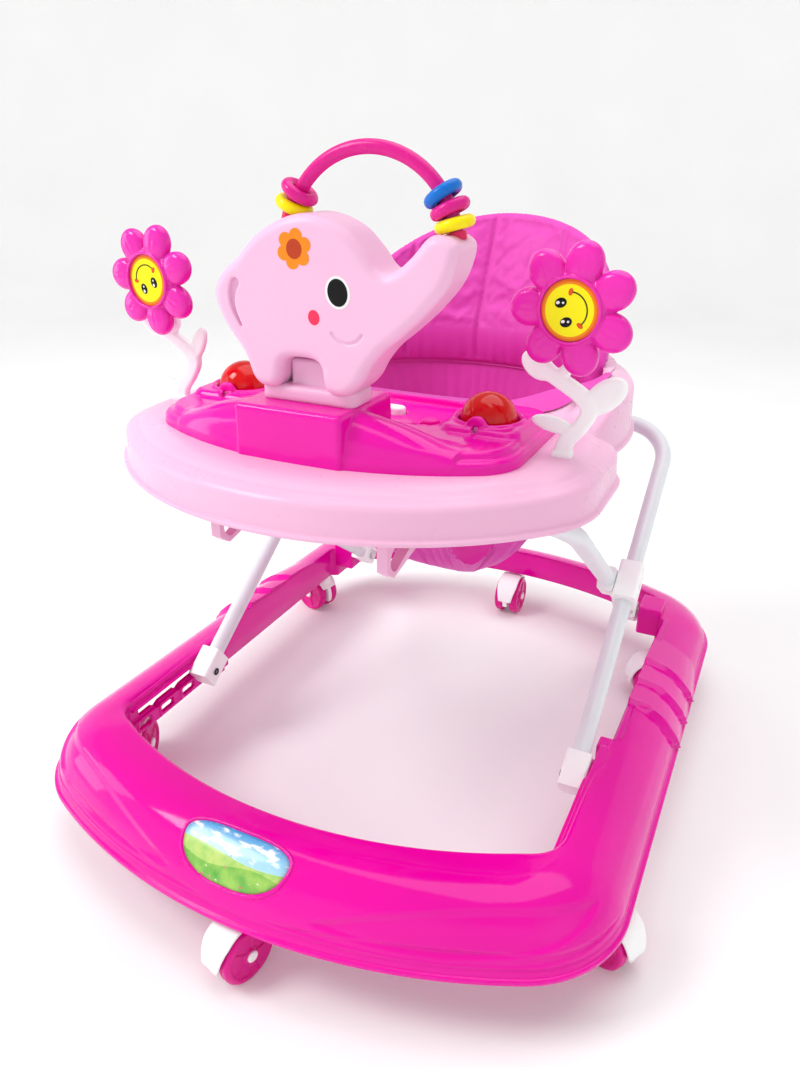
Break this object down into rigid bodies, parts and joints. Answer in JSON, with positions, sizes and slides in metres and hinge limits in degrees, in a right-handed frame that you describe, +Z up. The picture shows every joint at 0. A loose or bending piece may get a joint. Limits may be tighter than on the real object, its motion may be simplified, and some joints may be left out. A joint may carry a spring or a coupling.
{
  "type": "baby walker",
  "caption": "Folding baby walker: ring base on swivel casters, scissor tube legs, activity tray with spinning flowers, rattle balls, elephant bead arch and padded seat.",
  "frame": {"origin": "on the floor under the middle of the base ring", "axes": "+X to the right seen from the front, the front faces -Y, +Z up"},
  "size_m": [0.5581, 0.7217, 0.5915],
  "materials": {
    "base_pink": "gloss",
    "decal_print": "gloss",
    "steel": "satin",
    "white_plastic": "satin",
    "wheel_pink": "gloss",
    "tube_paint": "satin",
    "tray_pink": "satin",
    "toy_pink": "gloss",
    "inner_parts": "matte",
    "ball_red": "gloss translucent",
    "face_yellow": "gloss",
    "collar_red": "gloss",
    "ring_yellow": "gloss",
    "ring_magenta": "gloss",
    "ring_blue": "gloss",
    "seat_fabric": "woven"
  },
  "bodies": {
    "base": {"base_ring": "base_pink", "front_decal_plate": "decal_print", "rear_pivot_pins": "steel"},
    "caster_front_centre": {"caster_front_centre_hood": "white_plastic", "caster_front_centre_pins": "steel"},
    "wheels_front_centre": {"caster_front_centre_wheels": "wheel_pink"},
    "caster_front_right": {"caster_front_right_hood": "white_plastic", "caster_front_right_pins": "steel"},
    "wheels_front_right": {"caster_front_right_wheels": "wheel_pink"},
    "caster_front_left": {"caster_front_left_hood": "white_plastic", "caster_front_left_pins": "steel"},
    "wheels_front_left": {"caster_front_left_wheels": "wheel_pink"},
    "caster_rear_right": {"caster_rear_right_hood": "white_plastic", "caster_rear_right_pins": "steel"},
    "wheels_rear_right": {"caster_rear_right_wheels": "wheel_pink"},
    "caster_rear_left": {"caster_rear_left_hood": "white_plastic", "caster_rear_left_pins": "steel"},
    "wheels_rear_left": {"caster_rear_left_wheels": "wheel_pink"},
    "caster_rear_centre": {"caster_rear_centre_hood": "white_plastic", "caster_rear_centre_pins": "steel"},
    "wheels_rear_centre": {"caster_rear_centre_wheels": "wheel_pink"},
    "rear_leg": {"rear_leg_tube": "tube_paint", "rear_leg_end_blocks": "white_plastic", "crossing_cradles": "white_plastic"},
    "front_leg": {"front_leg_tube": "tube_paint", "front_leg_feet": "white_plastic", "front_foot_pins": "steel", "crossing_sleeves": "white_plastic", "crossing_pins": "steel"},
    "tray": {"tray_shell": "tray_pink", "tray_hinge_blocks": "white_plastic", "tray_height_racks": "white_plastic", "toy_tray": "toy_pink", "music_unit": "inner_parts", "battery_box": "inner_parts", "battery_door": "toy_pink", "ball_axles": "steel", "flower_stem_left": "white_plastic", "flower_stem_right": "white_plastic", "arch_tube": "toy_pink", "arch_collars": "collar_red", "elephant_pedestal": "tray_pink", "elephant_body": "tray_pink", "seat_back": "seat_fabric", "seat_sling": "seat_fabric"},
    "button_1": {"music_button_1": "toy_pink"},
    "button_2": {"music_button_2": "toy_pink"},
    "button_3": {"music_button_3": "toy_pink"},
    "switch": {"oval_switch": "white_plastic"},
    "ball_left": {"rattle_ball_left": "ball_red"},
    "ball_right": {"rattle_ball_right": "ball_red"},
    "flower_left": {"flower_head_left": "toy_pink", "flower_face_left": "face_yellow"},
    "flower_right": {"flower_head_right": "toy_pink", "flower_face_right": "face_yellow"},
    "ring_body_right_blue": {"ring_right_blue": "ring_blue"},
    "ring_body_right_magenta": {"ring_right_magenta": "ring_magenta"},
    "ring_body_right_yellow": {"ring_right_yellow": "ring_yellow"},
    "ring_body_left_magenta": {"ring_left_magenta": "ring_magenta"},
    "ring_body_left_yellow": {"ring_left_yellow": "ring_yellow"}
  },
  "joints": [
    {"name": "swivel_front_centre", "type": "hinge", "parent": "base", "child": "caster_front_centre", "pos_m": [0, -0.322, 0.05], "axis": [0, 0, 1], "continuous": true},
    {"name": "roll_front_centre", "type": "hinge", "parent": "caster_front_centre", "child": "wheels_front_centre", "pos_m": [-0.00436, -0.33947, 0.0245], "axis": [-0.9703, 0.2419, 0], "continuous": true},
    {"name": "swivel_front_right", "type": "hinge", "parent": "base", "child": "caster_front_right", "pos_m": [0.236, -0.194, 0.05], "axis": [0, 0, 1], "continuous": true},
    {"name": "roll_front_right", "type": "hinge", "parent": "caster_front_right", "child": "wheels_front_right", "pos_m": [0.25159, -0.203, 0.0245], "axis": [-0.5, -0.866, 0], "continuous": true},
    {"name": "swivel_front_left", "type": "hinge", "parent": "base", "child": "caster_front_left", "pos_m": [-0.236, -0.194, 0.05], "axis": [0, 0, 1], "continuous": true},
    {"name": "roll_front_left", "type": "hinge", "parent": "caster_front_left", "child": "wheels_front_left", "pos_m": [-0.24216, -0.17709, 0.0245], "axis": [0.9397, 0.342, 0], "continuous": true},
    {"name": "swivel_rear_right", "type": "hinge", "parent": "base", "child": "caster_rear_right", "pos_m": [0.228, 0.19, 0.05], "axis": [0, 0, 1], "continuous": true},
    {"name": "roll_rear_right", "type": "hinge", "parent": "caster_rear_right", "child": "wheels_rear_right", "pos_m": [0.21257, 0.18073, 0.0245], "axis": [-0.515, 0.8572, 0], "continuous": true},
    {"name": "swivel_rear_left", "type": "hinge", "parent": "base", "child": "caster_rear_left", "pos_m": [-0.228, 0.19, 0.05], "axis": [0, 0, 1], "continuous": true},
    {"name": "roll_rear_left", "type": "hinge", "parent": "caster_rear_left", "child": "wheels_rear_left", "pos_m": [-0.2453, 0.19496, 0.0245], "axis": [0.2756, 0.9613, 0], "continuous": true},
    {"name": "swivel_rear_centre", "type": "hinge", "parent": "base", "child": "caster_rear_centre", "pos_m": [0, 0.32, 0.05], "axis": [0, 0, 1], "continuous": true},
    {"name": "roll_rear_centre", "type": "hinge", "parent": "caster_rear_centre", "child": "wheels_rear_centre", "pos_m": [0, 0.302, 0.0245], "axis": [-1, 0, 0], "continuous": true},
    {"name": "fold", "type": "hinge", "parent": "base", "child": "rear_leg", "pos_m": [0, 0.206, 0.09], "axis": [1, 0, 0], "range_deg": [0, 26]},
    {"name": "cross", "type": "hinge", "parent": "rear_leg", "child": "front_leg", "pos_m": [0, 0.0455, 0.20238], "axis": [1, 0, 0], "range_deg": [-52, 0]},
    {"name": "tray_hinge", "type": "hinge", "parent": "front_leg", "child": "tray", "pos_m": [0, 0.206, 0.31477], "axis": [1, 0, 0], "range_deg": [0, 26]},
    {"name": "press_1", "type": "slide", "parent": "tray", "child": "button_1", "axis": [0, 0, -1], "range_m": [0, 0.002], "stiffness_N_per_m": 300},
    {"name": "press_2", "type": "slide", "parent": "tray", "child": "button_2", "axis": [0, 0, -1], "range_m": [0, 0.002], "stiffness_N_per_m": 300},
    {"name": "press_3", "type": "slide", "parent": "tray", "child": "button_3", "axis": [0, 0, -1], "range_m": [0, 0.002], "stiffness_N_per_m": 300},
    {"name": "press_switch", "type": "slide", "parent": "tray", "child": "switch", "axis": [0, 0, -1], "range_m": [0, 0.002], "stiffness_N_per_m": 300},
    {"name": "ball_spin_left", "type": "hinge", "parent": "tray", "child": "ball_left", "pos_m": [-0.107, -0.137, 0.404], "axis": [0, 1, 0], "continuous": true},
    {"name": "ball_spin_right", "type": "hinge", "parent": "tray", "child": "ball_right", "pos_m": [0.107, -0.137, 0.404], "axis": [0, 1, 0], "continuous": true},
    {"name": "flower_spin_left", "type": "hinge", "parent": "tray", "child": "flower_left", "pos_m": [-0.173, -0.146, 0.488], "axis": [-0.1219, -0.9925, 0], "continuous": true},
    {"name": "flower_spin_right", "type": "hinge", "parent": "tray", "child": "flower_right", "pos_m": [0.168, -0.146, 0.488], "axis": [-0.1219, -0.9925, 0], "continuous": true},
    {"name": "slide_right_blue", "type": "hinge", "parent": "tray", "child": "ring_body_right_blue", "pos_m": [0.047, -0.21, 0.527], "axis": [0, -1, 0], "range_deg": [0, 51]},
    {"name": "slide_right_magenta", "type": "hinge", "parent": "tray", "child": "ring_body_right_magenta", "pos_m": [0.047, -0.21, 0.527], "axis": [0, -1, 0], "range_deg": [0, 51]},
    {"name": "slide_right_yellow", "type": "hinge", "parent": "tray", "child": "ring_body_right_yellow", "pos_m": [0.047, -0.21, 0.527], "axis": [0, -1, 0], "range_deg": [0, 51]},
    {"name": "slide_left_magenta", "type": "hinge", "parent": "tray", "child": "ring_body_left_magenta", "pos_m": [0.047, -0.21, 0.527], "axis": [0, 1, 0], "range_deg": [0, 51]},
    {"name": "slide_left_yellow", "type": "hinge", "parent": "tray", "child": "ring_body_left_yellow", "pos_m": [0.047, -0.21, 0.527], "axis": [0, 1, 0], "range_deg": [0, 51]}
  ],
  "couplings": [
    {"joint": "cross", "follows": "fold", "ratio": -2},
    {"joint": "tray_hinge", "follows": "fold", "ratio": 1},
    {"joint": "slide_right_magenta", "follows": "slide_right_blue", "ratio": 1},
    {"joint": "slide_right_yellow", "follows": "slide_right_blue", "ratio": 1},
    {"joint": "slide_left_yellow", "follows": "slide_left_magenta", "ratio": 1}
  ]
}
